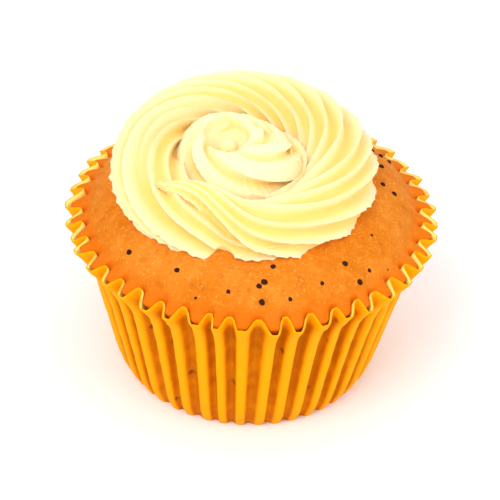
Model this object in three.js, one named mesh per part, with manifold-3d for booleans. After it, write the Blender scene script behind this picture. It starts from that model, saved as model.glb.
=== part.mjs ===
// A cupcake in its pleated paper case: poppy seed sponge with a piped buttercream rosette.
// Millimetres, +Z up. The origin is the middle of the case's underside, -Y is the front.

import * as THREE from "three";
import { mergeVertices } from "three/addons/utils/BufferGeometryUtils.js";
import Module from "manifold-3d";

const wasm = await Module();
wasm.setup();

const TURN = Math.PI * 2;
const DEGREE = Math.PI / 180;
const GAP = 0.3; // left between touching pieces
const FINEST = 0.01; // shorter edges are closed up where solids are joined or cut

// ---- paper case -------------------------------------------------------------------------
const BASE_RADIUS = 25.2; // across the outer folds, where the case stands
const RIM_RADIUS = 37.5;
const RIM_HEIGHT = 36;
const PAPER = 0.5; // wall, a little thicker than real paper
const PLEATS = 44;
const PEAK = 1.5; // how far the inner folds stand above the outer ones at the rim
const OUTER_FOLD = 0.17; // half width of an outer fold's flat, in pleats
const INNER_FOLD = 0.08; // half width of an inner fold's flat, in pleats

// height, radius of the outer folds, depth of the pleats
const CASE_ROWS = [
  [0, BASE_RADIUS, 0.8],
  [3.6, BASE_RADIUS + 1.9, 1.2],
  [14, BASE_RADIUS + 4.6, 1.8],
  [28.9, RIM_RADIUS - 3.8, 2.3],
  [RIM_HEIGHT, RIM_RADIUS, 2.7],
];

// ---- sponge -----------------------------------------------------------------------------
const SPONGE_EDGE = 34.8; // height at which the sponge leaves the paper
const SPONGE_FLUTE = 0.3; // how far it fills the outer folds, as a share of their depth
const DOME_TOP = 46.3;
// share of the edge radius, share of the rise from the edge to the top
const DOME_ROWS = [
  [0.99, 0.14],
  [0.95, 0.305],
  [0.877, 0.495],
  [0.76, 0.68],
  [0.572, 0.835],
  [0.295, 0.955],
];

const SEEDS = 40;
const SEED_SIZE = [0.62, 0.48, 0.42]; // half length, half width, half height
const SEED_RING = [28.9, 31.6]; // where seeds show between buttercream and paper

// ---- buttercream rosette ----------------------------------------------------------------
// directions of the star nozzle's teeth, in degrees: each leaves a ridge, and the nozzle isn't turned
const TEETH = [16, 42, 66, 98, 124, 150, 174, 198, 216, 234, 279, 308, 340];
const SMEARED = [42, 98, 150, 198, 216, 279, 340]; // in the coil, the groove after these is smeared shut
const SMEARED_UNTIL = [400, 520]; // turned: up to the first all of them are, from the second on none
const GROOVE = 0.008; // depth of a groove per degree between its teeth, in rope radii
const DEEPEST_GROOVE = 0.36;
const LOW_SIDE = 0.75; // how much shallower the grooves are towards the rope's underside
const SPLIT = 234; // the wide groove after this tooth is filled at the back
const BACK = 100; // direction in degrees
const PIPE_START = 150; // direction from the middle at which the rope starts, in degrees
const STATION = 10; // degrees of turn between two sections of the rope
const STRETCH = 12; // stations in one stretch, short enough not to meet itself
const JOINING_END = 0.8; // size of the narrowed end that joins a stretch to the next
const EYE = 0.5; // the rope keeps this far from its own middle
// turned clockwise, middle x, middle y, path radius, height, half widths outwards and inwards,
// half height, depth of the grooves as a share of the full one
const ROPE_ROWS = [
  [0, -5, 3, 2.6, 48.6, 2.4, 2, 3.2, 0.3],
  [60, -4.8, 2.4, 3.2, 48.6, 3, 3, 4, 0.6],
  [105, -4.4, 1.6, 3.8, 48.4, 5.4, 3.4, 4.4, 0.8],
  [140, -4.2, 1.2, 4.4, 48.2, 8.6, 3.6, 4.6, 0.9],
  [180, -4.4, 1.2, 4.8, 48, 10.2, 3.8, 4.8, 0.9],
  [230, -5, 1.2, 5.6, 47.4, 8.8, 4, 5.2, 1],
  [280, -5.8, 1.4, 5.8, 47.6, 5.6, 3.6, 5.2, 0.9],
  [340, -6.2, 1.8, 5.6, 48, 3.6, 3.4, 4.8, 0.7],
  [390, -6.2, 2, 6.2, 48.4, 3.6, 3.8, 4.6, 0.7],
  [440, -5.6, 1.8, 7.2, 48.2, 3.8, 4.2, 4.6, 0.9],
  [480, -4.6, 1.2, 9, 47.2, 5, 4.2, 4.2, 1],
  [530, -3, 0.4, 13.4, 45.6, 6.2, 6.2, 4.4, 1],
  [570, -2.4, 0.2, 16.8, 44.4, 7.8, 7.4, 5.2, 1],
  [593, -2.2, 0.2, 17.8, 43, 8.4, 8, 4.6, 1],
  [605, -2.2, 0.2, 17.8, 43, 8.4, 8, 4.4, 1],
  [618, -2.2, 0.2, 17.8, 44.3, 8.8, 7.8, 5.4, 1],
  [640, -2.2, 0.2, 17.9, 44.8, 9, 7.6, 5.8, 1],
  [690, -2.2, 0.2, 18.2, 45.4, 8.4, 7.4, 8.2, 0.9],
  [740, -2.2, 0.2, 18.6, 46, 8.6, 7.8, 8.6, 0.9],
  [790, -2.2, 0.2, 19, 46.2, 9, 8.6, 8.7, 1],
  [870, -2.2, 0.2, 18.9, 45.6, 8.4, 7.8, 8.2, 1],
  [910, -2.2, 0.2, 19.2, 45, 7.8, 6.8, 7.4, 1],
  [940, -2.2, 0.2, 19.2, 44.8, 7.4, 5.6, 6.8, 1],
  [955, -2.2, 0.2, 18.6, 45.4, 7, 4.6, 6.2, 1],
  [970, -2.2, 0.2, 17, 47.2, 4.8, 3.2, 4.8, 0.8],
  [985, -2.2, 0.2, 16, 48.9, 3.3, 2.6, 3.4, 0.5],
  [997, -2.2, 0.2, 16.6, 49.8, 2.6, 2.2, 2.4, 0.3],
  [1006, -2.2, 0.2, 18.6, 50.3, 1.7, 1.5, 1.4, 0.2],
  [1011, -2.2, 0.2, 20.2, 50.3, 0.7, 0.7, 0.6, 0.1],
];
// the filling of the coil's middle, the cup hollowed out of it, and the nozzle's first touch
const HEART = { x: -3.4, y: 0.2, z: 45.6, across: 14.6, alongY: 13.8, halfHeight: 4.4 };
const CUP = { x: -6, y: 3.4, z: 52.6, across: 4.6, alongY: 4.4, halfHeight: 4.8 };
const NUB = { x: -5.5, y: 3.6, z: 48.6, across: 1.9, alongY: 1.7, halfHeight: 1.8 };
const LUMP_FACETS = [20, 10]; // around, and from top to bottom

// Shades, roughness
const PAPER_LOOK = { color: 0xffa80f, roughness: 0.55, metalness: 0 };
const SPONGE_LOOK = { color: 0xf08c28, roughness: 0.85, metalness: 0 };
const CREAM_LOOK = { color: 0xfff2ac, roughness: 0.45, metalness: 0 };

/** A repeatable draw between 0 and 1. */
function draws(seed) {
  let state = seed;
  return () => {
    state = (state * 1664525 + 1013904223) % 4294967296;
    return state / 4294967296;
  };
}

/** The row at x of a table whose first column rises, on a smooth curve through its rows. */
function along(rows, x) {
  const last = rows.length - 1;
  const at = Math.min(Math.max(x, rows[0][0]), rows[last][0]);
  let i = 0;
  while (i < last - 1 && rows[i + 1][0] < at) i += 1;
  const [a, b] = [rows[i], rows[i + 1]];
  const before = rows[Math.max(i - 1, 0)];
  const after = rows[Math.min(i + 2, last)];
  const span = b[0] - a[0];
  const t = (at - a[0]) / span;
  return a.map((start, column) => {
    const slopeA = ((b[column] - before[column]) / (b[0] - before[0])) * span;
    const slopeB = ((after[column] - start) / (after[0] - a[0])) * span;
    const rise = b[column] - start;
    return start + t * slopeA + t * t * (3 * rise - 2 * slopeA - slopeB)
      + t * t * t * (slopeA + slopeB - 2 * rise);
  });
}

/** A closed solid through rings of equally many points, with a middle point at each end. */
function loft(rings, startMiddle, endMiddle) {
  const count = rings[0].length;
  const points = [...rings.flat(), startMiddle, endMiddle];
  const start = points.length - 2;
  const faces = [];
  for (let j = 0; j < count; j += 1) {
    const k = (j + 1) % count;
    faces.push(start, k, j);
    for (let i = 0; i < rings.length - 1; i += 1) {
      const low = i * count;
      const high = low + count;
      faces.push(low + j, low + k, high + k, low + j, high + k, high + j);
    }
    const top = (rings.length - 1) * count;
    faces.push(start + 1, top + j, top + k);
  }
  const geometry = new THREE.BufferGeometry();
  geometry.setAttribute("position", new THREE.Float32BufferAttribute(points.flat(), 3));
  geometry.setIndex(faces);
  return geometry;
}

/** A three.js geometry as a manifold solid. */
function solid(geometry) {
  const bare = geometry.clone();
  bare.deleteAttribute("normal");
  bare.deleteAttribute("uv");
  const merged = mergeVertices(bare);
  return new wasm.Manifold(new wasm.Mesh({
    numProp: 3,
    vertProperties: new Float32Array(merged.attributes.position.array),
    triVerts: new Uint32Array(merged.index.array),
    tolerance: FINEST,
  }));
}

/** The largest body of a manifold solid, without loose scraps or sealed hollows. */
function largestBody(shape) {
  const bodies = shape.decompose();
  bodies.sort((a, b) => b.volume() - a.volume());
  return bodies[0];
}

/** A manifold solid as a three.js geometry. */
function geometryOf(shape) {
  const { vertProperties, triVerts } = shape.getMesh();
  const geometry = new THREE.BufferGeometry();
  geometry.setAttribute("position", new THREE.BufferAttribute(vertProperties, 3));
  geometry.setIndex(new THREE.BufferAttribute(triVerts, 1));
  return geometry;
}

/** One ring of the case: the zigzag of its pleats at a height, moved in by inset. */
function pleatRing(height, radius, depth, peak, inset) {
  const corners = [
    [-OUTER_FOLD, 0],
    [OUTER_FOLD, 0],
    [0.5 - INNER_FOLD, 1],
    [0.5 + INNER_FOLD, 1],
  ];
  const ring = [];
  for (let pleat = 0; pleat < PLEATS; pleat += 1) {
    for (const [phase, fold] of corners) {
      const angle = ((pleat + phase) / PLEATS) * TURN;
      const r = radius - depth * fold - inset;
      ring.push([r * Math.cos(angle), r * Math.sin(angle), height + peak * (fold - 1)]);
    }
  }
  return ring;
}

/** The paper case: an open cup of one pleated wall and a flat base. */
function paperCase() {
  const last = CASE_ROWS.length - 1;
  const outside = CASE_ROWS.map(([z, r, depth], i) => pleatRing(z, r, depth, i === last ? PEAK : 0, 0));
  const inside = CASE_ROWS.map(([z, r, depth], i) =>
    pleatRing(Math.max(z, PAPER), r, depth, i === last ? PEAK : 0, PAPER));
  return loft([...outside, ...inside.reverse()], [0, 0, 0], [0, 0, PAPER]);
}

/** One ring of the sponge at a height, which fills the pleats in part. */
function spongeRing(height, grow) {
  const [, radius, depth] = along(CASE_ROWS, height);
  const inner = radius - depth - PAPER - GAP + grow;
  const ring = [];
  for (let i = 0; i < 2 * PLEATS; i += 1) {
    const angle = (i / (2 * PLEATS)) * TURN;
    const r = inner + (i % 2 === 0 ? SPONGE_FLUTE * depth : 0);
    ring.push([r * Math.cos(angle), r * Math.sin(angle), height]);
  }
  return ring;
}

/** The bare sponge; grow makes it larger all over, for cutting what rests on it. */
function bareSponge(grow) {
  const bottom = PAPER + GAP;
  const sides = [bottom, ...CASE_ROWS.map((row) => row[0]).filter((z) => z > bottom && z < SPONGE_EDGE)];
  const rings = [...sides, SPONGE_EDGE].map((z) => spongeRing(z, grow));
  const edge = rings[rings.length - 1];
  for (const [share, rise] of DOME_ROWS) {
    const z = SPONGE_EDGE + grow + (DOME_TOP - SPONGE_EDGE) * rise;
    rings.push(edge.map(([x, y]) => [x * share, y * share, z]));
  }
  return loft(rings, [0, 0, bottom], [0, 0, DOME_TOP + grow]);
}

/** Height of the dome's surface at a distance from the middle. */
function domeHeight(radius) {
  const edge = Math.hypot(...spongeRing(SPONGE_EDGE, 0)[1].slice(0, 2));
  const rows = [[1, 0], ...DOME_ROWS, [0, 1]].reverse();
  const [, rise] = along(rows, radius / edge);
  return SPONGE_EDGE + (DOME_TOP - SPONGE_EDGE) * rise;
}

/** A poppy seed sunk halfway into the dome. */
function seed(draw, index) {
  const angle = ((index + 0.8 * draw()) / SEEDS) * TURN;
  const r = SEED_RING[0] + (SEED_RING[1] - SEED_RING[0]) * draw();
  const geometry = new THREE.SphereGeometry(1, 6, 3);
  geometry.scale(...SEED_SIZE);
  geometry.rotateZ(draw() * TURN);
  geometry.translate(r * Math.cos(angle), r * Math.sin(angle), domeHeight(r));
  return solid(geometry);
}

/** The sponge with its seeds fused on. */
function sponge() {
  const draw = draws(7);
  let shape = solid(bareSponge(0));
  for (let i = 0; i < SEEDS; i += 1) {
    shape = shape.add(seed(draw, i));
  }
  return geometryOf(largestBody(shape));
}

/** 0 below 0, 1 above 1, and smooth between. */
function ease(x) {
  const kept = Math.min(Math.max(x, 0), 1);
  return kept * kept * (3 - 2 * kept);
}

/** One star section of the rope after a turn: the crest of each tooth and the groove beside it. */
function ropeSection(turned, size) {
  const [, x, y, path, height, outward, inward, halfHeight, cut] = along(ROPE_ROWS, turned);
  const [smeared, clean] = SMEARED_UNTIL;
  const opened = ease((turned - smeared) / (clean - smeared));
  const out = PIPE_START - turned;
  const atBack = ease(0.5 + Math.cos((out - BACK) * DEGREE));
  const ring = [];
  const place = (direction, reach) => {
    const around = (direction - out) * DEGREE;
    const halfWidth = Math.cos(around) > 0 ? outward : inward;
    const r = Math.max(path + halfWidth * size * reach * Math.cos(around), EYE);
    const z = height + halfHeight * size * reach * Math.sin(around);
    ring.push([x + r * Math.cos(out * DEGREE), y + r * Math.sin(out * DEGREE), z]);
  };
  TEETH.forEach((tooth, i) => {
    const next = i + 1 < TEETH.length ? TEETH[i + 1] : TEETH[0] + 360;
    const valley = (tooth + next) / 2;
    const low = ease(0.3 - Math.sin((valley - out) * DEGREE));
    let share = cut * (1 - LOW_SIDE * low);
    if (SMEARED.includes(tooth)) share *= opened;
    if (tooth === SPLIT) share *= 1 - atBack;
    place(tooth, 1);
    place(valley, 1 - share * Math.min(GROOVE * (next - tooth), DEEPEST_GROOVE));
  });
  const middle = [x + path * Math.cos(out * DEGREE), y + path * Math.sin(out * DEGREE), height];
  return { ring, middle };
}

/** An egg-shaped solid. */
function lump({ x, y, z, across, alongY, halfHeight }) {
  const geometry = new THREE.SphereGeometry(1, ...LUMP_FACETS);
  geometry.rotateX(Math.PI / 2);
  geometry.scale(across, alongY, halfHeight);
  geometry.translate(x, y, z);
  return solid(geometry);
}

/** A stretch of the rope, whose narrowed end reaches into the next stretch to join it. */
function ropeStretch(start, stop) {
  const sections = [];
  for (let turned = start; turned <= stop; turned += STATION) {
    sections.push(ropeSection(turned, 1));
  }
  sections.push(ropeSection(stop + STATION / 2, JOINING_END));
  const rings = sections.map((section) => section.ring);
  return loft(rings, sections[0].middle, sections[sections.length - 1].middle);
}

/** The buttercream: one rope piped clockwise from the middle out, cut to the dome. */
function buttercream() {
  const end = ROPE_ROWS[ROPE_ROWS.length - 1][0];
  let shape = lump(HEART);
  for (let start = 0; start < end; start += STATION * STRETCH) {
    shape = shape.add(solid(ropeStretch(start, Math.min(start + STATION * STRETCH, end))));
  }
  shape = shape.subtract(lump(CUP)).add(lump(NUB));
  return geometryOf(largestBody(shape.subtract(solid(bareSponge(GAP)))));
}

/** A named mesh with a plain finish. */
function piece(name, geometry, look) {
  const mesh = new THREE.Mesh(geometry, new THREE.MeshStandardMaterial(look));
  mesh.name = name;
  return mesh;
}

const group = new THREE.Group();
group.add(piece("paper_case", paperCase(), PAPER_LOOK));
group.add(piece("sponge", sponge(), SPONGE_LOOK));
group.add(piece("buttercream", buttercream(), CREAM_LOOK));

export default group;
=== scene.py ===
"""A poppy seed cupcake in its pleated paper case, with a piped buttercream rosette.

Lengths are in millimetres until a point is placed in the scene, which is in metres.
"""

import math
import random

import bmesh
import bpy
from bpy.props import FloatProperty, FloatVectorProperty, IntProperty, PointerProperty
from mathutils import Matrix, Vector, kdtree, noise


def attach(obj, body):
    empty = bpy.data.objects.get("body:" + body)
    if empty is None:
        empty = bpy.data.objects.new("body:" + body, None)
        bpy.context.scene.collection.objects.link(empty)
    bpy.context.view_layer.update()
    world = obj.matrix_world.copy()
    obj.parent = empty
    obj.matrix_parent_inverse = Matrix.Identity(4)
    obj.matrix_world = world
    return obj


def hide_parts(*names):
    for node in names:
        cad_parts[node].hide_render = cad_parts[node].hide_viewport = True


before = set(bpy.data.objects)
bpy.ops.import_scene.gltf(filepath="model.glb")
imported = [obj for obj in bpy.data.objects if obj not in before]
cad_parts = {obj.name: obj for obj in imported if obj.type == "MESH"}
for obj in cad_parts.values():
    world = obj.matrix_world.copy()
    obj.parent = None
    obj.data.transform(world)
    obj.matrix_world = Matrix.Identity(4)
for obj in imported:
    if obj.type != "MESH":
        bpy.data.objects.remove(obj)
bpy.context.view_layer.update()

bl_info = {
    "name": "Poppy Seed Cupcake",
    "version": (1, 0, 0),
    "blender": (4, 5, 0),
    "location": "View3D > Sidebar > Cupcake",
    "description": "Adds a cupcake in a pleated paper case with a piped rosette",
    "category": "Add Mesh",
}

MM = 0.001
TURN = 2 * math.pi
BODY = "root"

# ---- paper case ----------------------------------------------------------------------------
# height, radius of the outer folds, depth of the pleats
CASE_ROWS = [
    (0, 25.2, 0.8),
    (3.6, 27.1, 1.2),
    (14, 29.8, 1.8),
    (28.9, 33.7, 2.3),
    (36, 37.5, 2.7),
]
RIM_HEIGHT = CASE_ROWS[-1][0]
# rings of the flat base: share of its radius, share of the pleats' depth
BASE_RINGS = ((0.25, 0), (0.6, 0), (0.85, 0), (0.93, 0.35))
WALL_HEIGHTS = (0.5, 1.2, 2.2, 3.6, 5, 6.5, 8, 10, 12, 14, 16, 18, 20, 22, 24, 25.5, 27, 28.9,
                30, 31, 32, 33, 34, 35.2)
POINTS_IN_A_PLEAT = 14
OUTER_FLAT = 0.12  # half width of an outer fold's rounded flat, in pleats
INNER_FLAT = 0.05  # half width of an inner fold's
PEAK = 1.5  # how far the inner folds stand above the outer ones at the rim
PEAK_FROM = 28  # height from which they begin to
# unevenness of the folds
SHIFT = 0.10  # sideways, in pleats
LEAN = 0.10  # further sideways at the rim, in pleats
SWELL = 0.45  # outwards at the rim
RISE = 0.35  # up and down at the rim, as a share of the peak
INNER_SWELL = 0.3  # an inner fold's share of the swell
CRINKLE = 0.32  # height of the paper's crinkles at the rim
CRINKLES_IN_A_PLEAT = 1.9
CRINKLE_SPACING = 2.6  # up the wall

# ---- sponge --------------------------------------------------------------------------------
# distance from the middle, height
DOME_ROWS = [
    (0, 46.3),
    (9.9, 45.8),
    (19.2, 44.4),
    (25.5, 42.6),
    (29.4, 40.5),
    (31.9, 38.3),
    (33.2, 36.4),
    (33.7, 34.8),
]
SPONGE_EDGE = 34.8  # height at which the sponge leaves the paper
SPONGE_HEIGHTS = (0.6, 3.6, 8, 14, 21, 28, 30, 32, 33.5, SPONGE_EDGE)
SPONGE_FLUTE = 0.96  # how far it fills the outer folds, as a share of their depth
SPONGE_SLACK = 0.1  # left between it and the paper
CRUST_RINGS = 56  # from the edge up to the height below
CRUST_TOP = 43.4
INNER_RINGS = (20.0, 15.0, 9.0, 4.0)  # their radii, under the buttercream
HALVINGS = 30  # to find where the dome has a height
LUMP_CENTRE = 20  # height from which the crust's unevenness points outwards
LUMP_STEEPNESS = 1.2
FADING_RINGS = 9  # over which the edge's folds fade out
RISING_RINGS = 8  # over which the crust's unevenness sets in

# seeds that show at the front: direction in degrees, distance from the middle
FRONT_SEEDS = [
    (5, 26.2), (2, 28.5), (-50, 29.0), (-80, 26.4), (-84, 29.1), (-86, 29.8),
    (-85, 32.1), (-118, 29.7), (-140, 31.0), (-48, 32.3), (19, 27.3),
]
# the same for those of which only a little shows
SUNK_SEEDS = [
    (-144, 29.3), (-126, 33.0), (-108, 32.6), (-75, 32.0), (-42, 31.7), (-34, 33.0),
    (-14, 29.3), (2, 32.8), (-76, 25.6), (163, 32.4), (-97, 31.0), (-62, 30.6), (-30, 27.6),
]
SINK = 0.32  # how much deeper they sit
FREE_DIRECTIONS = (25, 160)  # of the further seeds, in degrees
FREE_DISTANCES = (27.0, 32.3)
SEED_SHAPE = (0.60, 0.47, 0.40)  # half length, half width, half height of the smallest
SEED_GROWTH = (1.0, 1.3)
SEED_DEPTH = (0.0, 0.15)
HOLLOW = 0.28  # depth of a seed's hollow side, in half lengths
HOLLOW_WIDTH = 0.6  # half width of that side, in half widths

# ---- buttercream ---------------------------------------------------------------------------
# directions of the star nozzle's teeth, in degrees: each leaves a ridge
TEETH = [16, 42, 66, 98, 124, 150, 174, 198, 216, 234, 279, 308, 340]
SMEARED = (42, 98, 150, 198, 216, 279, 340)  # in the coil, the groove after these is smeared shut
SMEARED_UNTIL = (400, 520)  # turned: up to the first all of them are, from the second on none
SPLIT = 234  # the wide groove after this tooth has a low ridge of its own at the back
BACK = 100  # direction in degrees
PIPE_START = 150  # direction from the middle at which the rope starts, in degrees
POINTS_IN_A_GROOVE = 8
DEEPEST_GROOVE = 0.48  # in rope radii
LOW_SIDE = 0.75  # how much shallower the grooves are towards the rope's underside
STATION = 1.5  # degrees of turn between two sections of the rope
STRETCH = 66  # stations in one stretch, short enough not to meet itself
JOINING_END = 0.8  # size of the narrowed end that joins a stretch to the next
EYE = 0.5  # the rope keeps this far from its own middle
# turned clockwise, middle x, middle y, path radius, height, half widths outwards and inwards,
# half height, depth of the grooves as a share of the full one
ROPE_ROWS = [
    (0, -5.0, 3.0, 2.6, 48.6, 2.4, 2.0, 3.2, 0.3),
    (60, -4.8, 2.4, 3.2, 48.6, 3.0, 3.0, 4.0, 0.6),
    (105, -4.4, 1.6, 3.8, 48.4, 5.4, 3.4, 4.4, 0.8),
    (140, -4.2, 1.2, 4.4, 48.2, 8.6, 3.6, 4.6, 0.9),
    (180, -4.4, 1.2, 4.8, 48.0, 10.2, 3.8, 4.8, 0.9),
    (230, -5.0, 1.2, 5.6, 47.4, 8.8, 4.0, 5.2, 1.0),
    (280, -5.8, 1.4, 5.8, 47.6, 5.6, 3.6, 5.2, 0.9),
    (340, -6.2, 1.8, 5.6, 48.0, 3.6, 3.4, 4.8, 0.7),
    (390, -6.2, 2.0, 6.2, 48.4, 3.6, 3.8, 4.6, 0.7),
    (440, -5.6, 1.8, 7.2, 48.2, 3.8, 4.2, 4.6, 0.9),
    (480, -4.6, 1.2, 9.0, 47.2, 5.0, 4.2, 4.2, 1.0),
    (530, -3.0, 0.4, 13.4, 45.6, 6.2, 6.2, 4.4, 1.0),
    (570, -2.4, 0.2, 16.8, 44.4, 7.8, 7.4, 5.2, 1.0),
    (593, -2.2, 0.2, 17.8, 43.0, 8.4, 8.0, 4.6, 1.0),
    (605, -2.2, 0.2, 17.8, 43.0, 8.4, 8.0, 4.4, 1.0),
    (618, -2.2, 0.2, 17.8, 44.3, 8.8, 7.8, 5.4, 1.0),
    (640, -2.2, 0.2, 17.9, 44.8, 9.0, 7.6, 5.8, 1.0),
    (690, -2.2, 0.2, 18.2, 45.4, 8.4, 7.4, 8.2, 0.9),
    (740, -2.2, 0.2, 18.6, 46.0, 8.6, 7.8, 8.6, 0.9),
    (790, -2.2, 0.2, 19.0, 46.2, 9.0, 8.6, 8.7, 1.0),
    (870, -2.2, 0.2, 18.9, 45.6, 8.4, 7.8, 8.2, 1.0),
    (910, -2.2, 0.2, 19.2, 45.0, 7.8, 6.8, 7.4, 1.0),
    (940, -2.2, 0.2, 19.2, 44.8, 7.4, 5.6, 6.8, 1.0),
    (955, -2.2, 0.2, 18.6, 45.4, 7.0, 4.6, 6.2, 1.0),
    (970, -2.2, 0.2, 17.0, 47.2, 4.8, 3.2, 4.8, 0.8),
    (985, -2.2, 0.2, 16.0, 48.9, 3.3, 2.6, 3.4, 0.5),
    (997, -2.2, 0.2, 16.6, 49.8, 2.6, 2.2, 2.4, 0.3),
    (1006, -2.2, 0.2, 18.6, 50.3, 1.7, 1.5, 1.4, 0.2),
    (1011, -2.2, 0.2, 20.2, 50.3, 0.7, 0.7, 0.6, 0.1),
]
# egg-shaped solids: x, y, z, radius across, radius along y, half height
HEART = (-3.4, 0.2, 45.6, 14.6, 13.8, 4.4)  # fills the coil's middle up to its outer groove
CUP = (-6.0, 3.4, 52.6, 4.6, 4.4, 4.8)  # hollowed out of the coil's middle
NUB = (-5.5, 3.6, 48.6, 1.9, 1.7, 1.8)  # the nozzle's first touch
PLUG = (-15.9, 2.4, 47.4, 1.9, 3.4, 2.0)  # fills the crevice beside the coil
POCKET = (17.0, -14.8, 50.4, 0.9, 1.5, 1.8)  # torn open beside the last lap
NOTCH = (-5.0, -26.2, 43.0, 2.2, 3.2, 3.6)  # between two lobes at the front
WAVER = 0.03  # how much the rope's size varies, as a share
WAVER_SPACING = 26  # in degrees of turn
TEAR_SPACING = 2.6  # of the torn ridges, in degrees of turn
LEAST_TORN = 0.25  # share of the tearing on the rope's inner side
GROOVE_TORN = 0.4  # share of the tearing in a groove
# the dome that the buttercream is cut to: rings under it, then radii on it
DOME_SKIRT = ((33, 20), (33.4, 33))
DOME_RADII = (32.4, 31, 29, 26, 22, 17, 11, 5)
DOME_POINTS = 96
CREAM_SINK = 0.5  # how far the buttercream reaches into the dome
CREASE = 60  # sharper edges than this stay sharp, in degrees
COIL_GROOVE_SHADE = 0.75  # strength of the grooves' painted shade in the coil, as a share of the outer lap's
FILLED = 0.35  # groove value, the share of painted shade, where a vertex is far from the rope as it was piped
NEAR_ROPE = 0.4  # it is near up to half this distance, and far past one and a half times it

# ---- finishes: colours that no setting holds -------------------------------------------------
SEED_UNDER_PAPER = (0.10, 0.03, 0.01)
PALE_FIBRE = (1.0, 0.80, 0.28)
BROWNED = (0.46, 0.10, 0.004)  # darkest baked spots of the crust
PALE_CRUMB = (0.92, 0.45, 0.11)
SEED_UNDER_CRUST = (0.18, 0.07, 0.03)
SEED_NET = (0.06, 0.018, 0.009)
COIL_PAINTED_LIGHT = (0.94, 0.785, 0.47)  # painted light: paler buttercream in the coil, which light reaches less
FLOOR_GRAIN = (0.88, 0.88, 0.88)
# where a colour sets in and where it is full, in metres
SOAKED_AND_SHADED_LINE = (0.0345, 0.0315)  # height on the paper
REDDER_EDGE = (0.0385, 0.0345)  # height on the crust
COIL_REACH = (0.0135, 0.009)  # distance from the coil's middle
COIL_MIDDLE = (-0.0035, 0.0005, 0.05)

# ---- view ----------------------------------------------------------------------------------
VIEWPOINT = (0, -442.3, 374.0)
AIM = (0, 0, 25.5)
ROLL = 2.9  # degrees: the cupcake leans a little to the right in the picture
KEY_LIGHT = ((-260, -420, 620), 420)  # place, side of the soft box
FILL_LIGHT = ((480, -260, 380), 500)
FILL_SHARE = 0.35  # of the key's power
SKY = 1.05  # strength of the white surroundings


# ---- settings ------------------------------------------------------------------------------
def colour(name, text, value):
    """A colour setting."""
    return FloatVectorProperty(name=name, description=text, default=value, size=3,
                               subtype="COLOR", min=0, max=1)


class CaseSettings(bpy.types.PropertyGroup):
    """Paper case."""

    pleats: IntProperty(name="Pleats", description="Pleats around the case", default=44, min=12)
    paper: FloatProperty(name="Paper", description="Thickness of the paper",
                         default=0.3 * MM, unit="LENGTH")
    outer: colour("Outer folds", "Paper that stands off the sponge", (1.0, 0.375, 0.001))
    # darker paper in the recesses: partly fat soaked in from the sponge, partly painted shade of
    # the recesses
    soaked_and_shaded: colour("Soaked", "Paper that the sponge has soaked with fat", (0.54, 0.13, 0.0))
    # the inner face's paper colour, paled with painted light that shines through the paper
    inside: colour("Inside", "Inner face of the paper", (1.0, 0.80, 0.18))


class SpongeSettings(bpy.types.PropertyGroup):
    """Sponge and its seeds."""

    lumps: FloatProperty(name="Lumps", description="Height of the crust's unevenness",
                         default=0.35 * MM, unit="LENGTH")
    seeds: IntProperty(name="Seeds", description="Further seeds at the sides and back",
                       default=26, min=0)
    crust: colour("Crust", "Baked crust", (0.63, 0.168, 0.006))
    crumb: colour("Crumb", "Paler crumb that shows through the crust", (0.78, 0.27, 0.03))
    rim: colour("Rim", "Crust near the paper", (0.70, 0.145, 0.003))
    seed: colour("Seed", "Poppy seed", (0.022, 0.006, 0.003))


class CreamSettings(bpy.types.PropertyGroup):
    """Buttercream rosette."""

    groove: FloatProperty(name="Groove", description="Depth of a groove per degree between its "
                          "teeth, in rope radii", default=0.0102, min=0)
    ragged: FloatProperty(name="Ragged", description="Height of the tears along a ridge",
                          default=0.8 * MM, unit="LENGTH")
    crest: colour("Crest", "Buttercream on the ridges", (0.93, 0.745, 0.42))
    # painted shade: the buttercream's colour deepened in the grooves
    shaded_valley: colour("Valley", "Buttercream in the grooves", (0.93, 0.645, 0.16))


class StageSettings(bpy.types.PropertyGroup):
    """Floor, light and camera."""

    floor: colour("Floor", "Plain pale floor", (0.92, 0.92, 0.92))
    key: FloatProperty(name="Key light", description="Power of the soft box",
                       default=2.6, unit="POWER")
    lens: FloatProperty(name="Lens", description="Focal length in millimetres", default=198)


# ---- shapes --------------------------------------------------------------------------------
def along(rows, x):
    """The row at x of a table whose first column rises, on a smooth curve through its rows."""
    last = len(rows) - 1
    at = min(max(x, rows[0][0]), rows[last][0])
    i = 0
    while i < last - 1 and rows[i + 1][0] < at:
        i += 1
    a, b = rows[i], rows[i + 1]
    before, after = rows[max(i - 1, 0)], rows[min(i + 2, last)]
    span = b[0] - a[0]
    t = (at - a[0]) / span
    found = []
    for low, start, end, high in zip(before, a, b, after):
        slope_a = (end - low) / (b[0] - before[0]) * span
        slope_b = (high - start) / (after[0] - a[0]) * span
        rise = end - start
        found.append(start + t * slope_a + t * t * (3 * rise - 2 * slope_a - slope_b)
                     + t * t * t * (slope_a + slope_b - 2 * rise))
    return found


def ease(x):
    """0 below 0, 1 above 1, and smooth between."""
    x = min(max(x, 0.0), 1.0)
    return x * x * (3 - 2 * x)


def lay(ring, points, layer=None):
    """Moves a ring of vertices onto points, each (x, y, z) or (x, y, z, value for the layer)."""
    for vert, point in zip(ring, points):
        vert.co = Vector(point[:3]) * MM
        if layer is not None:
            vert[layer] = point[3]


def grow(bm, ring, points, layer=None):
    """Extrudes a ring of vertices to points, and gives the new ring in the same order."""
    spot = {vert: i for i, vert in enumerate(ring)}
    edges = [e for e in {e for v in ring for e in v.link_edges}
             if e.verts[0] in spot and e.verts[1] in spot]
    made = bmesh.ops.extrude_edge_only(bm, edges=edges)["geom"]
    fresh = [None] * len(ring)
    for vert in made:
        if isinstance(vert, bmesh.types.BMVert):
            for edge in vert.link_edges:
                if edge.other_vert(vert) in spot:
                    fresh[spot[edge.other_vert(vert)]] = vert
    lay(fresh, points, layer)
    return fresh


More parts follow.
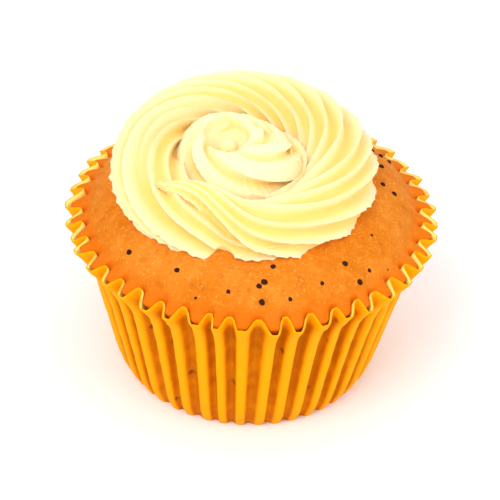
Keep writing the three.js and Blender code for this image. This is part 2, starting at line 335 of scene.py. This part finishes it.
def close(bm, ring):
    """Fills a ring with a fan of triangles."""
    inside = set(ring)
    edges = [e for e in {e for v in ring for e in v.link_edges}
             if e.verts[0] in inside and e.verts[1] in inside and len(e.link_faces) < 2]
    faces = bmesh.ops.edgeloop_fill(bm, edges=edges)["faces"]
    bmesh.ops.poke(bm, faces=faces)


def first_ring(bm, points, layer=None):
    """A ring of vertices on points."""
    ring = bmesh.ops.create_circle(bm, segments=len(points), radius=1)["verts"]
    lay(ring, points, layer)
    return ring


def closed_skin(bm, rings, layer=None):
    """A closed solid through rings of points."""
    ring = first_ring(bm, rings[0], layer)
    close(bm, ring)
    for points in rings[1:]:
        ring = grow(bm, ring, points, layer)
    close(bm, ring)
    bmesh.ops.remove_doubles(bm, verts=bm.verts, dist=1e-8)
    bmesh.ops.recalc_face_normals(bm, faces=bm.faces)


def mesh_object(name, bm):
    """A scene object of a bmesh, which is freed."""
    mesh = bpy.data.meshes.new(name)
    bm.to_mesh(mesh)
    bm.free()
    thing = bpy.data.objects.new(name, mesh)
    bpy.context.scene.collection.objects.link(thing)
    return thing


def finish_piece(piece, materials, node=None, crease=None):
    """Smooth shading, materials, and the body and node that the piece goes with."""
    piece.data.shade_smooth()
    if crease:
        piece.data.set_sharp_from_angle(angle=math.radians(crease))
    piece.data.materials.clear()
    for material in materials:
        piece.data.materials.append(material)
    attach(piece, BODY)
    if node:
        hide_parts(node)


# ---- materials -----------------------------------------------------------------------------
def new_material(name, roughness, gloss=0.5):
    """A material with its nodes, and its Principled shader."""
    material = bpy.data.materials.new(name)
    material.use_nodes = True
    shader = material.node_tree.nodes["Principled BSDF"]
    shader.inputs["Roughness"].default_value = roughness
    shader.inputs["Specular IOR Level"].default_value = gloss
    return material, material.node_tree, shader


def feed(tree, socket, value):
    """Gives an input its value or colour, or links another node's socket to it."""
    if isinstance(value, bpy.types.NodeSocket):
        tree.links.new(value, socket)
    else:
        socket.default_value = (*value, 1.0) if socket.type == "RGBA" else value


def add_node(tree, kind, **values):
    """A node with its inputs or settings; an input can be a value or another node's socket."""
    node = tree.nodes.new(kind)
    for name, value in values.items():
        label = name.replace("_", " ").title()
        if label in node.inputs:
            feed(tree, node.inputs[label], value)
        else:
            setattr(node, name, value)
    return node


def object_point(tree):
    """The point's own place in metres."""
    return add_node(tree, "ShaderNodeTexCoord").outputs["Object"]


def noise_at(tree, scale, detail=3.0, roughness=0.55):
    """Noise from 0 to 1; scale is in lumps a metre."""
    return add_node(tree, "ShaderNodeTexNoise", vector=object_point(tree), scale=scale,
                    detail=detail, roughness=roughness).outputs["Fac"]


def between(tree, value, low, high, start=0.0, end=1.0):
    """value from low..high mapped onto start..end, kept inside."""
    node = add_node(tree, "ShaderNodeMapRange", value=value)
    node.interpolation_type = "SMOOTHSTEP"
    for name, edge in (("From Min", low), ("From Max", high), ("To Min", start), ("To Max", end)):
        feed(tree, node.inputs[name], edge)
    return node.outputs["Result"]


def times(tree, a, b, operation="MULTIPLY"):
    """Two values multiplied, or joined by another operation."""
    node = tree.nodes.new("ShaderNodeMath")
    node.operation = operation
    for socket, value in zip(node.inputs, (a, b)):
        feed(tree, socket, value)
    return node.outputs[0]


def blended(tree, share, a, b):
    """Colour a where share is 0, and b where it is 1."""
    node = tree.nodes.new("ShaderNodeMix")
    node.data_type = "RGBA"
    sockets = [s for s in node.inputs if s.enabled]
    for socket, value in zip(sockets, (share, a, b)):
        feed(tree, socket, value)
    return next(s for s in node.outputs if s.enabled)


def bumped(tree, shader, height, strength, distance):
    """A bump of that height on the shader."""
    bump = add_node(tree, "ShaderNodeBump", strength=strength, distance=distance, height=height)
    tree.links.new(bump.outputs["Normal"], shader.inputs["Normal"])


def attribute(tree, name):
    """A value kept on the mesh."""
    return add_node(tree, "ShaderNodeAttribute", attribute_name=name).outputs["Fac"]


def height_of(tree):
    """Height above the table in metres."""
    return add_node(tree, "ShaderNodeSeparateXYZ", vector=object_point(tree)).outputs["Z"]


def buried_seeds_group():
    """A node group with the mask of seeds that show through from underneath."""
    group = bpy.data.node_groups.new("buried_seeds", "ShaderNodeTree")
    for name in ("Scale", "Rim", "Core", "Left Out", "Shown"):
        group.interface.new_socket(name, in_out="INPUT", socket_type="NodeSocketFloat")
    group.interface.new_socket("Mask", in_out="OUTPUT", socket_type="NodeSocketFloat")
    given = group.nodes.new("NodeGroupInput").outputs
    cells = add_node(group, "ShaderNodeTexVoronoi", vector=object_point(group),
                     scale=given["Scale"])
    near = between(group, cells.outputs["Distance"], given["Rim"], given["Core"])
    pick = add_node(group, "ShaderNodeSeparateColor", color=cells.outputs["Color"]).outputs["Red"]
    mask = times(group, near, between(group, pick, given["Left Out"], given["Shown"]))
    group.links.new(mask, group.nodes.new("NodeGroupOutput").inputs["Mask"])
    return group


def buried_seeds(tree, scale, size, share):
    """Where seeds show through; scale is in seeds a metre, size is from rim to core in cells,
    and share is the draw from 0 to 1 up to which they are left out, and past which they show."""
    node = tree.nodes.new("ShaderNodeGroup")
    node.node_tree = bpy.data.node_groups.get("buried_seeds") or buried_seeds_group()
    for socket, value in zip(node.inputs, (scale, *size, *share)):
        socket.default_value = value
    return node.outputs["Mask"]


def paper_material(settings):
    """Greaseproof paper: bright outer folds, dark in the recesses below the rim, partly soaked
    with fat where the sponge touches it and partly painted shade, with the sponge's seeds showing
    through."""
    material, tree, shader = new_material("case_paper", 0.5, 0.03)
    height = height_of(tree)
    fold = attribute(tree, "fold")
    blotch = noise_at(tree, 260)
    fibre = noise_at(tree, 2400, 4)
    # recesses below the rim: partly soaked with fat, partly painted shade, in random patches
    soaked_and_shaded = times(tree, between(tree, fold, 0.1, 0.6),
                   between(tree, height, *SOAKED_AND_SHADED_LINE))
    soaked_and_shaded = times(tree, soaked_and_shaded, between(tree, blotch, 0.25, 0.6, 0.7, 1.0))
    tint = blended(tree, soaked_and_shaded, tuple(settings.outer), tuple(settings.soaked_and_shaded))
    shade = times(tree, fibre, 0.25)
    tint = blended(tree, shade, tint, tuple(c * 0.8 for c in settings.outer))
    seeds = times(tree, buried_seeds(tree, 230, (0.26, 0.08), (0.48, 0.50)), soaked_and_shaded)
    tint = blended(tree, times(tree, seeds, 0.85), tint, SEED_UNDER_PAPER)
    tree.links.new(tint, shader.inputs["Base Color"])
    crumpled = noise_at(tree, 620, 4, 0.65)
    bumped(tree, shader, times(tree, times(tree, fibre, 0.3), crumpled, "ADD"), 0.4, 0.0008)
    return material


def inside_paper_material(settings):
    """The paper's inner face, its colour paled with painted light that shines through the paper,
    in random patches of the outer folds' colour.
    """
    material, tree, shader = new_material("case_paper_inside", 0.5, 0.04)
    fibre = noise_at(tree, 2000, 4)
    wide = noise_at(tree, 300)
    # painted light: the pale inside colour stands for light through the paper, mixed at random
    # with the outer folds' colour
    tint = blended(tree, between(tree, wide, 0.5, 0.8),
                   tuple(settings.inside), tuple(settings.outer))
    tint = blended(tree, times(tree, fibre, 0.3), tint, PALE_FIBRE)
    tree.links.new(tint, shader.inputs["Base Color"])
    bumped(tree, shader, fibre, 0.25, 0.0002)
    return material


def sponge_material(settings):
    """Baked crust: golden, redder at the rim, with paler crumb and sunk seeds."""
    material, tree, shader = new_material("sponge_crust", 0.62, 0.04)
    height = height_of(tree)
    wide = noise_at(tree, 90)
    medium = noise_at(tree, 420)
    fine = noise_at(tree, 1700, 5, 0.7)
    tint = blended(tree, times(tree, between(tree, wide, 0.4, 0.7), 0.45),
                   tuple(settings.crust), tuple(settings.crumb))
    tint = blended(tree, times(tree, between(tree, medium, 0.52, 0.72), 0.5),
                   tint, tuple(settings.crumb))
    tint = blended(tree, times(tree, between(tree, medium, 0.46, 0.28), 0.4), tint, BROWNED)
    tint = blended(tree, times(tree, between(tree, fine, 0.55, 0.70), 0.6), tint, PALE_CRUMB)
    tint = blended(tree, times(tree, between(tree, fine, 0.45, 0.30), 0.5), tint, BROWNED)
    tint = blended(tree, between(tree, height, *REDDER_EDGE), tint, tuple(settings.rim))
    seeds = buried_seeds(tree, 170, (0.2, 0.05), (0.93, 0.94))
    tint = blended(tree, times(tree, seeds, 0.55), tint, SEED_UNDER_CRUST)
    tree.links.new(tint, shader.inputs["Base Color"])
    pores = add_node(tree, "ShaderNodeTexVoronoi", vector=object_point(tree), scale=900.0)
    relief = times(tree, times(tree, pores.outputs["Distance"], 0.5), fine, "ADD")
    bumped(tree, shader, relief, 0.35, 0.0006)
    return material


def seed_material(settings):
    """Poppy seed: nearly black, with the fine net of its skin."""
    material, tree, shader = new_material("poppy_seed", 0.6, 0.05)
    net = add_node(tree, "ShaderNodeTexVoronoi", vector=object_point(tree), scale=6000.0)
    tint = blended(tree, net.outputs["Distance"], tuple(settings.seed), SEED_NET)
    tree.links.new(tint, shader.inputs["Base Color"])
    bumped(tree, shader, net.outputs["Distance"], 0.4, 0.0001)
    return material


def cream_material(settings):
    """Whipped buttercream: soft, with painted shade deepening the grooves and painted light
    paling the coil.
    """
    material, tree, shader = new_material("buttercream", 0.45, 0.2)
    groove = attribute(tree, "groove")
    wide = noise_at(tree, 160)
    # painted shade in the grooves, as much as their groove value, varied at random
    deep = times(tree, between(tree, groove, 0.1, 1.0), between(tree, wide, 0.2, 0.8, 0.75, 1.0))
    away = add_node(tree, "ShaderNodeVectorMath", operation="DISTANCE")
    tree.links.new(object_point(tree), away.inputs[0])
    away.inputs[1].default_value = COIL_MIDDLE
    # painted light: the crest colour paled towards the coil's middle
    crest = blended(tree, between(tree, away.outputs["Value"], *COIL_REACH),
                    tuple(settings.crest), COIL_PAINTED_LIGHT)
    tint = blended(tree, deep, crest, tuple(settings.shaded_valley))
    tree.links.new(tint, shader.inputs["Base Color"])
    shader.inputs["Subsurface Weight"].default_value = 0.35
    shader.inputs["Subsurface Radius"].default_value = (1.0, 0.85, 0.45)
    shader.inputs["Subsurface Scale"].default_value = 0.0025
    air = noise_at(tree, 1500, 4, 0.6)
    bumped(tree, shader, air, 0.2, 0.0005)
    return material


# ---- pieces --------------------------------------------------------------------------------
def fold_at(phase):
    """0 on an outer fold, 1 on an inner one; phase is in pleats from the outer fold."""
    away = abs(phase - round(phase))
    return ease((away - OUTER_FLAT) / (0.5 - INNER_FLAT - OUTER_FLAT))


class Pleats:
    """The uneven folds of a paper case."""

    def __init__(self, count):
        draw = random.Random(11)
        self.count = count
        self.shift = [draw.uniform(-SHIFT, SHIFT) for _ in range(2 * count)]
        self.lean = [draw.uniform(-LEAN, LEAN) for _ in range(2 * count)]
        self.swell = [draw.uniform(0.0, SWELL) for _ in range(2 * count)]
        self.rise = [draw.uniform(-RISE, RISE) for _ in range(2 * count)]

    def drawn(self, values, phase):
        """A drawn value that changes smoothly from fold to fold."""
        at = 2 * phase
        low = math.floor(at)
        share = ease(at - low)
        size = len(values)
        return values[low % size] * (1 - share) + values[(low + 1) % size] * share

    @staticmethod
    def crinkle(phase, height):
        """How far the paper is crinkled outwards at a point, from -1 to 1."""
        return noise.noise(Vector((phase * CRINKLES_IN_A_PLEAT, height / CRINKLE_SPACING, 2.0)))

    def ring(self, height, inset, peak=0.0, depth_share=1.0):
        """Points of the pleats at a height, moved in by inset, with the fold as their value."""
        _, radius, depth = along(CASE_ROWS, height)
        share = height / RIM_HEIGHT
        points = []
        for i in range(self.count * POINTS_IN_A_PLEAT):
            phase = i / POINTS_IN_A_PLEAT
            fold = fold_at(phase)
            moved = self.drawn(self.shift, phase) + self.drawn(self.lean, phase) * share
            angle = (phase + moved) / self.count * TURN
            r = radius - depth * depth_share * fold - inset
            r += self.drawn(self.swell, phase) * share * share * (1 - (1 - INNER_SWELL) * fold)
            r += CRINKLE * share * self.crinkle(phase, height)
            z = height + peak * (fold - 1 + self.drawn(self.rise, phase))
            points.append((r * math.cos(angle), r * math.sin(angle), z, fold))
        return points


class CUPCAKE_OT_paper_case(bpy.types.Operator):
    """Add the pleated paper case"""

    bl_idname = "cupcake.paper_case"
    bl_label = "Paper Case"

    def execute(self, context):
        settings = context.scene.cupcake_case
        pleats = Pleats(settings.pleats)
        bm = bmesh.new()
        fold = bm.verts.layers.float.new("fold")
        rings = []
        for share, depth in BASE_RINGS:
            flat = pleats.ring(0, 0, 0, depth)
            rings.append([(x * share, y * share, 0.0, f * depth) for x, y, _, f in flat])
        rings.append(pleats.ring(0, 0))
        for height in WALL_HEIGHTS:
            risen = max(height - PEAK_FROM, 0) / (RIM_HEIGHT - PEAK_FROM)
            rings.append(pleats.ring(height, 0, PEAK * risen))
        rings.append(pleats.ring(RIM_HEIGHT, 0, PEAK))
        ring = first_ring(bm, rings[0], fold)
        close(bm, ring)
        for points in rings[1:]:
            ring = grow(bm, ring, points, fold)
        bmesh.ops.remove_doubles(bm, verts=bm.verts, dist=1e-8)
        bmesh.ops.recalc_face_normals(bm, faces=bm.faces)
        lowest = min(bm.faces, key=lambda face: face.calc_center_median().z)
        if lowest.normal.z > 0:
            bmesh.ops.reverse_faces(bm, faces=bm.faces)
        piece = mesh_object("paper_case_pleated", bm)
        wall = piece.modifiers.new("Wall", "SOLIDIFY")
        wall.thickness = settings.paper
        wall.offset = -1
        wall.material_offset = 1
        wall.material_offset_rim = 0
        finish_piece(piece, [paper_material(settings), inside_paper_material(settings)],
                     "paper_case")
        return {"FINISHED"}


def crust_lift(x, y, z):
    """How far the crust stands out at a point, from -1 to 1."""
    spot = Vector((x, y, z))
    broad = noise.noise(spot / 11)
    small = noise.noise(spot / 2.6)
    fine = noise.fractal(spot / 0.9, 0.8, 2.0, 2)
    return 0.9 * broad + 0.28 * small + 0.12 * fine


def dome_point(radius):
    """Height of the dome at a distance from the middle."""
    return along(DOME_ROWS, radius)[1]


class CUPCAKE_OT_sponge(bpy.types.Operator):
    """Add the baked sponge"""

    bl_idname = "cupcake.sponge"
    bl_label = "Sponge"

    def execute(self, context):
        settings = context.scene.cupcake_sponge
        case = context.scene.cupcake_case
        pleats = Pleats(case.pleats)
        lumps = settings.lumps / MM
        inset = case.paper / MM + SPONGE_SLACK
        edge = along(CASE_ROWS, SPONGE_EDGE)
        edge_radius = edge[1] - edge[2] - inset
        rings = []
        for height in SPONGE_HEIGHTS:
            depth = along(CASE_ROWS, height)[2]
            flute = []
            for x, y, z, fold in pleats.ring(height, inset):
                here = math.hypot(x, y)
                r = here - (1 - SPONGE_FLUTE) * depth * (1 - fold)
                flute.append((x / here * r, y / here * r, z))
            rings.append(flute)
        top = rings[-1]
        sides = len(rings) - 1
        for k in range(1, CRUST_RINGS + 1):
            # from the edge inwards over the dome, in steps that get finer towards the top
            slope = math.sin(0.5 * math.pi * (k / CRUST_RINGS))
            height = SPONGE_EDGE + (CRUST_TOP - SPONGE_EDGE) * slope
            radius = self.radius_at(height)
            fade = ease(1 - k / FADING_RINGS)
            ring = []
            for x, y, _ in top:
                here = math.hypot(x, y)
                r = radius + (here - edge_radius) * fade
                ring.append((x / here * r, y / here * r, height))
            rings.append(ring)
        last = rings[-1]
        for radius in INNER_RINGS:
            height = dome_point(radius)
            rings.append([(x / math.hypot(x, y) * radius, y / math.hypot(x, y) * radius, height)
                          for x, y, _ in last])
        for k in range(sides, len(rings)):
            share = ease((k - sides) / RISING_RINGS)
            rings[k] = [self.lifted(point, lumps, share) for point in rings[k]]
        bm = bmesh.new()
        closed_skin(bm, rings)
        piece = mesh_object("sponge_crust", bm)
        finish_piece(piece, [sponge_material(settings)], "sponge")
        return {"FINISHED"}

    @staticmethod
    def radius_at(height):
        """Distance from the middle at which the dome has a height."""
        low, high = 0.0, DOME_ROWS[-1][0]
        for _ in range(HALVINGS):
            middle = (low + high) / 2
            if dome_point(middle) > height:
                low = middle
            else:
                high = middle
        return high

    @staticmethod
    def lifted(point, lumps, share):
        """A point of the crust moved in or out along the dome's rough normal."""
        x, y, z = point
        out = Vector((x, y, (z - LUMP_CENTRE) * LUMP_STEEPNESS)).normalized()
        moved = Vector(point) + out * lumps * share * crust_lift(x, y, z)
        return tuple(moved)


def seat_on_dome(angle, radius):
    """Point and outward normal of the dome at a direction in degrees and distance."""
    a = math.radians(angle)
    x, y = radius * math.cos(a), radius * math.sin(a)
    nudge = 0.1
    slope = (dome_point(radius + nudge) - dome_point(radius - nudge)) / (2 * nudge)
    normal = Vector((-slope * math.cos(a), -slope * math.sin(a), 1)).normalized()
    return Vector((x, y, dome_point(radius))), normal


class CUPCAKE_OT_poppy_seeds(bpy.types.Operator):
    """Add the poppy seeds that show on the crust"""

    bl_idname = "cupcake.poppy_seeds"
    bl_label = "Poppy Seeds"

    def execute(self, context):
        settings = context.scene.cupcake_sponge
        lumps = settings.lumps / MM
        draw = random.Random(5)
        places = [(*place, 0) for place in FRONT_SEEDS] + [(*place, SINK) for place in SUNK_SEEDS]
        for _ in range(settings.seeds):
            places.append((draw.uniform(*FREE_DIRECTIONS), draw.uniform(*FREE_DISTANCES),
                           draw.choice((0, 0, SINK))))
        bm = bmesh.new()
        for angle, radius, sink in places:
            spot, normal = seat_on_dome(angle, radius)
            spot += normal * (lumps * crust_lift(*spot) - sink - draw.uniform(*SEED_DEPTH))
            size = draw.uniform(*SEED_GROWTH)
            turn = normal.to_track_quat("Z", "X").to_matrix().to_4x4()
            shape = Matrix.Diagonal((*(half * size for half in SEED_SHAPE), 1))
            place = (Matrix.Translation(spot * MM) @ turn
                     @ Matrix.Rotation(draw.uniform(0, TURN), 4, "Z")
                     @ Matrix.Scale(MM, 4) @ shape)
            made = bmesh.ops.create_icosphere(bm, subdivisions=2, radius=1)["verts"]
            for vert in made:
                # the kidney's hollow side
                if vert.co.x > 0 and abs(vert.co.y) < HOLLOW_WIDTH:
                    vert.co.x -= HOLLOW * (1 - abs(vert.co.y) / HOLLOW_WIDTH)
            bmesh.ops.transform(bm, matrix=place, verts=made)
        bmesh.ops.recalc_face_normals(bm, faces=bm.faces)
        piece = mesh_object("poppy_seeds", bm)
        finish_piece(piece, [seed_material(settings)], "sponge")
        return {"FINISHED"}


def rope_section(turned, size, depth, ragged):
    """One section of the rope after a turn, with the groove as each point's value."""
    _, x, y, path, height, outer, inner, half_height, cut = along(ROPE_ROWS, turned)
    size *= 1 + WAVER * noise.noise(Vector((turned / WAVER_SPACING, 3.1, 0)))
    out = PIPE_START - turned
    a = math.radians(out)
    left_coil = ease((turned - SMEARED_UNTIL[0]) / (SMEARED_UNTIL[1] - SMEARED_UNTIL[0]))
    at_back = ease(0.5 + math.cos(math.radians(out - BACK)))
    points = []
    for i, tooth in enumerate(TEETH):
        after = TEETH[i + 1] if i + 1 < len(TEETH) else TEETH[0] + 360
        open_share = left_coil if tooth in SMEARED else 1
        deep = cut * open_share * min(depth * (after - tooth), DEEPEST_GROOVE)
        for k in range(POINTS_IN_A_GROOVE):
            share = k / POINTS_IN_A_GROOVE
            around = math.radians(tooth + (after - tooth) * share - out)
            hollow = math.sin(math.pi * share)
            if tooth == SPLIT:
                hollow += at_back * (0.5 * abs(math.sin(2 * math.pi * share)) - hollow)
            low = ease(0.3 - math.sin(around))
            reach = 1 - deep * (1 - LOW_SIDE * low) * hollow ** 0.8
            side = outer if math.cos(around) > 0 else inner
            outwards = max(math.cos(around + 0.5), 0)
            torn = LEAST_TORN + (1 - LEAST_TORN) * outwards
            torn *= ragged * (1 - (1 - GROOVE_TORN) * hollow)
            tear = torn * noise.noise(Vector((turned / TEAR_SPACING, 7.0 * i, path)))
            r = max(path + (side * size * reach + tear) * math.cos(around), EYE)
            z = height + (half_height * size * reach + tear) * math.sin(around)
            # share of the painted shade in the grooves, less in the coil
            shade = hollow * min(open_share + 0.2, 1) * (COIL_GROOVE_SHADE + (1 - COIL_GROOVE_SHADE) * left_coil)
            points.append((x + r * math.cos(a), y + r * math.sin(a), z, shade))
    return points


def rope_stretch(start, stop, depth, ragged):
    """A closed stretch of the rope, whose narrowed end reaches into the next one."""
    bm = bmesh.new()
    groove = bm.verts.layers.float.new("groove")
    count = round((stop - start) / STATION)
    rings = [rope_section(start + STATION * k, 1, depth, ragged) for k in range(count + 1)]
    rings.append(rope_section(stop + 2 * STATION, JOINING_END, depth, ragged))
    closed_skin(bm, rings, groove)
    return mesh_object("rope_stretch", bm)


def lump(x, y, z, across, along_y, half_height):
    """An egg-shaped solid."""
    bm = bmesh.new()
    place = Matrix.Translation(Vector((x, y, z)) * MM) @ Matrix.Diagonal(
        (across * MM, along_y * MM, half_height * MM, 1))
    bmesh.ops.create_uvsphere(bm, u_segments=64, v_segments=32, radius=1, matrix=place)
    return mesh_object("lump", bm)


def sunk_dome():
    """The dome, sunk a little, which the buttercream's underside is cut to."""
    bm = bmesh.new()
    rings = []
    skin = [(radius, dome_point(radius) - CREAM_SINK) for radius in DOME_RADII]
    for radius, height in (*DOME_SKIRT, *skin):
        angles = [k / DOME_POINTS * TURN for k in range(DOME_POINTS)]
        rings.append([(radius * math.cos(a), radius * math.sin(a), height) for a in angles])
    closed_skin(bm, rings)
    return mesh_object("sunk_dome", bm)


def boolean(base, tool, operation):
    """Joins tool to base, or cuts it away, and drops it."""
    modifier = base.modifiers.new("Join", "BOOLEAN")
    modifier.operation = operation
    modifier.solver = "MANIFOLD"
    modifier.object = tool
    graph = bpy.context.evaluated_depsgraph_get()
    made = bpy.data.meshes.new_from_object(base.evaluated_get(graph))
    base.modifiers.clear()
    base.data = made
    bpy.data.objects.remove(tool)


class CUPCAKE_OT_buttercream(bpy.types.Operator):
    """Add the piped buttercream rosette"""

    bl_idname = "cupcake.buttercream"
    bl_label = "Buttercream"

    def execute(self, context):
        settings = context.scene.cupcake_cream
        depth, ragged = settings.groove, settings.ragged / MM
        end = ROPE_ROWS[-1][0]
        stretches = []
        start = 0
        while start < end:
            stop = min(start + STATION * STRETCH, end)
            stretches.append(rope_stretch(start, stop, depth, ragged))
            start = stop
        lines = [v for s in stretches for v in self.groove_points(s)]
        rope = stretches[0]
        for other in stretches[1:]:
            boolean(rope, other, "UNION")
        for shape, operation in ((HEART, "UNION"), (PLUG, "UNION"), (CUP, "DIFFERENCE"),
                                 (NUB, "UNION"), (POCKET, "DIFFERENCE"), (NOTCH, "DIFFERENCE")):
            boolean(rope, lump(*shape), operation)
        boolean(rope, sunk_dome(), "DIFFERENCE")
        rope.name = "buttercream_rosette"
        self.keep_largest(rope)
        self.paint_grooves(rope, lines)
        finish_piece(rope, [cream_material(settings)], "buttercream", CREASE)
        return {"FINISHED"}

    @staticmethod
    def groove_points(stretch):
        """Place and groove value of every vertex."""
        values = stretch.data.attributes["groove"].data
        return [(v.co.copy(), values[v.index].value) for v in stretch.data.vertices]

    @staticmethod
    def keep_largest(rope):
        """Drops loose scraps and merges doubles."""
        bm = bmesh.new()
        bm.from_mesh(rope.data)
        bmesh.ops.remove_doubles(bm, verts=bm.verts, dist=2e-6)
        left = set(bm.verts)
        bodies = []
        while left:
            body, edge = set(), [left.pop()]
            while edge:
                vert = edge.pop()
                body.add(vert)
                for link in vert.link_edges:
                    other = link.other_vert(vert)
                    if other in left:
                        left.discard(other)
                        edge.append(other)
            bodies.append(body)
        bodies.sort(key=len)
        for body in bodies[:-1]:
            bmesh.ops.delete(bm, geom=list(body), context="VERTS")
        bm.to_mesh(rope.data)
        bm.free()

    @staticmethod
    def paint_grooves(rope, lines):
        """Gives each vertex the groove value of the nearest point of the rope as it was piped."""
        tree = kdtree.KDTree(len(lines))
        for i, (place, _) in enumerate(lines):
            tree.insert(place, i)
        tree.balance()
        mesh = rope.data
        if "groove" in mesh.attributes:
            mesh.attributes.remove(mesh.attributes["groove"])
        groove = mesh.attributes.new("groove", "FLOAT", "POINT")
        for vert in mesh.vertices:
            _, index, away = tree.find(vert.co)
            near = ease(1.5 - away / (NEAR_ROPE * MM))
            groove.data[vert.index].value = near * lines[index][1] + (1 - near) * FILLED


class CUPCAKE_OT_stage(bpy.types.Operator):
    """Add the floor, the lights and the camera"""

    bl_idname = "cupcake.stage"
    bl_label = "Stage"

    def execute(self, context):
        settings = context.scene.cupcake_stage
        scene = context.scene
        bm = bmesh.new()
        bmesh.ops.create_grid(bm, x_segments=1, y_segments=1, size=3)
        floor = mesh_object("floor", bm)
        material, tree, shader = new_material("floor", 0.9)
        grain = noise_at(tree, 40)
        tint = blended(tree, times(tree, grain, 0.05), tuple(settings.floor), FLOOR_GRAIN)
        tree.links.new(tint, shader.inputs["Base Color"])
        floor.data.materials.append(material)

        self.light(scene, "key", *KEY_LIGHT, settings.key)
        self.light(scene, "fill", *FILL_LIGHT, settings.key * FILL_SHARE)
        world = bpy.data.worlds.new("studio")
        world.use_nodes = True
        background = world.node_tree.nodes["Background"]
        background.inputs["Color"].default_value = (1, 1, 1, 1)
        background.inputs["Strength"].default_value = SKY
        scene.world = world
        scene.view_settings.view_transform = "Standard"

        data = bpy.data.cameras.new("camera")
        data.sensor_width = 36
        data.lens = settings.lens
        data.clip_start, data.clip_end = 0.01, 10
        camera = bpy.data.objects.new("camera", data)
        scene.collection.objects.link(camera)
        camera.location = Vector(VIEWPOINT) * MM
        look = (Vector(AIM) - Vector(VIEWPOINT)).to_track_quat("-Z", "Y").to_matrix().to_4x4()
        roll = Matrix.Rotation(math.radians(ROLL), 4, "Z")
        camera.rotation_euler = (look @ roll).to_euler()
        scene.camera = camera
        return {"FINISHED"}

    @staticmethod
    def light(scene, name, place, size, power):
        """A square soft box that points at the cupcake."""
        data = bpy.data.lights.new(name, "AREA")
        data.energy = power
        data.size = size * MM
        lamp = bpy.data.objects.new(name, data)
        scene.collection.objects.link(lamp)
        lamp.location = Vector(place) * MM
        lamp.rotation_euler = (Vector(AIM) - Vector(place)).to_track_quat("-Z", "Y").to_euler()


# ---- panel ---------------------------------------------------------------------------------
class CUPCAKE_PT_panel(bpy.types.Panel):
    """Settings and pieces of the cupcake"""

    bl_idname = "CUPCAKE_PT_panel"
    bl_label = "Cupcake"
    bl_space_type = "VIEW_3D"
    bl_region_type = "UI"
    bl_category = "Cupcake"

    def draw(self, context):
        scene = context.scene
        for title, settings, operators in LAYOUT:
            box = self.layout.box()
            box.label(text=title)
            group = getattr(scene, settings)
            for name in group.__annotations__:
                box.prop(group, name)
            for operator in operators:
                box.operator(operator)


LAYOUT = [
    ("Paper case", "cupcake_case", ["cupcake.paper_case"]),
    ("Sponge", "cupcake_sponge", ["cupcake.sponge", "cupcake.poppy_seeds"]),
    ("Buttercream", "cupcake_cream", ["cupcake.buttercream"]),
    ("Stage", "cupcake_stage", ["cupcake.stage"]),
]
SETTINGS = {
    "cupcake_case": CaseSettings,
    "cupcake_sponge": SpongeSettings,
    "cupcake_cream": CreamSettings,
    "cupcake_stage": StageSettings,
}
CLASSES = [
    *SETTINGS.values(),
    CUPCAKE_OT_paper_case,
    CUPCAKE_OT_sponge,
    CUPCAKE_OT_poppy_seeds,
    CUPCAKE_OT_buttercream,
    CUPCAKE_OT_stage,
    CUPCAKE_PT_panel,
]


def register():
    for cls in CLASSES:
        bpy.utils.register_class(cls)
    for name, cls in SETTINGS.items():
        setattr(bpy.types.Scene, name, PointerProperty(type=cls))


def unregister():
    for name in SETTINGS:
        delattr(bpy.types.Scene, name)
    for cls in reversed(CLASSES):
        bpy.utils.unregister_class(cls)


def main():
    """Makes the whole scene."""
    register()
    bpy.ops.cupcake.stage()
    bpy.ops.cupcake.paper_case()
    bpy.ops.cupcake.sponge()
    bpy.ops.cupcake.poppy_seeds()
    bpy.ops.cupcake.buttercream()


if __name__ == "__main__":
    main()
